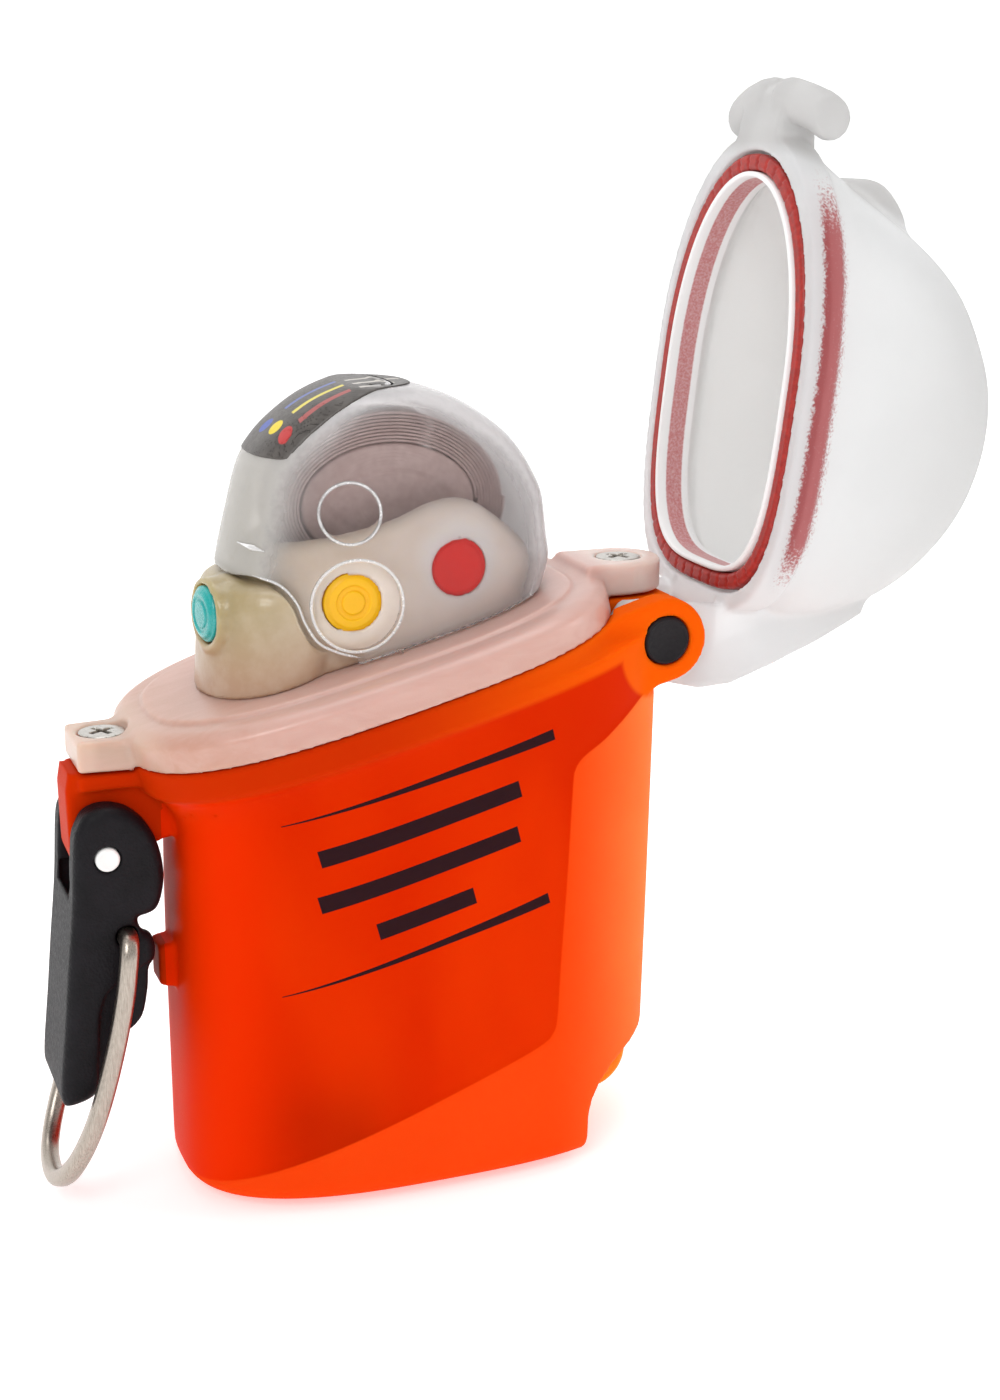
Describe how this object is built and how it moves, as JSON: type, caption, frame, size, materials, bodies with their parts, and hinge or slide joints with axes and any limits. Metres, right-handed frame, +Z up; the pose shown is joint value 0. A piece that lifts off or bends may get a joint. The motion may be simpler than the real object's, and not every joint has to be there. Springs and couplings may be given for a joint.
{
  "type": "emergency position beacon",
  "caption": "Pocket rescue beacon for sailors and divers: a translucent case with a hinged domed lid held by a draw latch, over a lift-off antenna cap and a sealed keypad.",
  "frame": {"origin": "on the foot's flat face, in the case's middle plane, below the middle of the two cells", "axes": "+Z up from the foot, +X from the latch towards the lid's hinge, -Y towards the printed front"},
  "size_m": [0.1141, 0.0368, 0.119],
  "materials": {
    "housing": "translucent orange moulding, satin to gloss",
    "eye": "clear bright orange moulding",
    "cover": "frosted translucent moulding",
    "seal": "matt",
    "screw": "satin stainless",
    "insert": "turned",
    "pin": "dark satin moulding",
    "white_pin": "white satin moulding",
    "lever": "fine-grained dark moulding",
    "bail": "polished stainless wire",
    "clear": "clear moulding, lightly frosted",
    "gasket": "satin red silicone",
    "cap": "clear moulding",
    "label": "satin printed film, no lettering",
    "boot": "milky silicone",
    "yellow": "satin silicone",
    "red": "satin silicone",
    "teal": "satin silicone",
    "switch": "satin",
    "board": "coated laminate",
    "tape": "spring steel tape with a dark coat",
    "hub": "satin",
    "patch": "fired ceramic",
    "can": "tinned sheet",
    "led": "clear resin",
    "cell": "wrapped steel can",
    "cradle": "satin",
    "spring": "bright wire",
    "contact": "stamped sheet"
  },
  "bodies": {
    "housing": {"lower_housing": "housing", "lanyard_eye": "eye", "top_cover": "cover", "cover_seal": "seal", "cover_screw_latch_side": "screw", "cover_screw_hinge_side": "screw", "screw_insert_latch_side": "insert", "screw_insert_hinge_side": "insert", "hinge_pin_front": "pin", "hinge_pin_rear": "pin", "latch_pivot_pin": "white_pin", "keypad_boot": "boot", "test_switch": "switch", "distress_switch": "switch", "keypad_board": "board", "power_switch": "switch", "antenna_coil": "tape", "antenna_hub": "hub", "main_circuit_board": "board", "gps_patch_antenna": "patch", "radio_shield_can": "can", "strobe_led": "led", "battery_cell_latch_side": "cell", "battery_cell_hinge_side": "cell", "battery_cradle": "cradle", "battery_spring_latch_side": "spring", "battery_spring_hinge_side": "spring", "battery_contact_bar": "contact"},
    "lid": {"lid_shell": "clear", "lid_gasket": "gasket"},
    "lever": {"latch_lever": "lever"},
    "bail": {"latch_bail": "bail"},
    "cap": {"antenna_cap": "cap", "cap_label": "label"},
    "test_button": {"test_button": "yellow"},
    "distress_button": {"distress_button": "red"},
    "power_button": {"power_button": "teal"}
  },
  "joints": [
    {"name": "lid_hinge", "type": "hinge", "parent": "housing", "child": "lid", "pos_m": [0.02708, 0, 0.05915], "axis": [0, 1, 0], "range_deg": [-110.96, 0]},
    {"name": "latch_lever_pivot", "type": "hinge", "parent": "housing", "child": "lever", "pos_m": [-0.0346, 0, 0.03984], "axis": [0, -1, 0], "range_deg": [-100, 0]},
    {"name": "latch_bail_pivot", "type": "hinge", "parent": "lever", "child": "bail", "pos_m": [-0.033, 0, 0.031], "axis": [0, 1, 0], "range_deg": [0, 165]},
    {"name": "antenna_cap_lift", "type": "slide", "parent": "housing", "child": "cap", "axis": [0, 0, 1], "range_m": [0, 0.035]},
    {"name": "test_button_press", "type": "slide", "parent": "housing", "child": "test_button", "axis": [0, 1, 0], "range_m": [0, 0.0005], "stiffness_N_per_m": 800},
    {"name": "distress_button_press", "type": "slide", "parent": "housing", "child": "distress_button", "axis": [0, 1, 0], "range_m": [0, 0.0005], "stiffness_N_per_m": 800},
    {"name": "power_button_press", "type": "slide", "parent": "housing", "child": "power_button", "axis": [0.9781, 0.2079, 0], "range_m": [0, 0.0005], "stiffness_N_per_m": 800}
  ]
}
